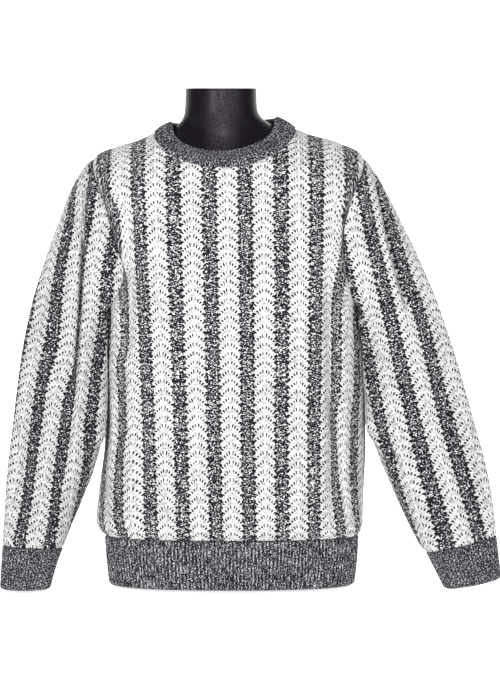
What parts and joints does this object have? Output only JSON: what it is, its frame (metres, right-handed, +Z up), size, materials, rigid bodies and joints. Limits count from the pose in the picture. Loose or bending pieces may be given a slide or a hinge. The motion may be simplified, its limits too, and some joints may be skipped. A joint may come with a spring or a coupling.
{
  "type": "striped crewneck sweater on a limbless dress form",
  "caption": "Loose crewneck sweater with long hanging sleeves, ribbed collar, cuffs and hem band, worn by a smooth limbless dress form that stands on its flat base.",
  "frame": {"origin": "middle of the dress form's flat base, on the surface it stands on", "axes": "+X to the viewer's right, which is the wearer's left; -Y to the front; +Z up"},
  "size_m": [0.7545, 0.2661, 0.7756],
  "materials": {
    "striped_knit": "soft wool knit in broad white and grey marl stripes",
    "marl_rib": "ribbed grey marl knit",
    "form_gloss": "glossy black"
  },
  "bodies": {
    "root": {"front": "striped_knit", "back": "striped_knit", "sleeve_left": "striped_knit", "sleeve_right": "striped_knit", "cuff_left": "marl_rib", "cuff_right": "marl_rib", "hem_band": "marl_rib", "neckband": "marl_rib", "dress_form": "form_gloss"}
  },
  "joints": []
}
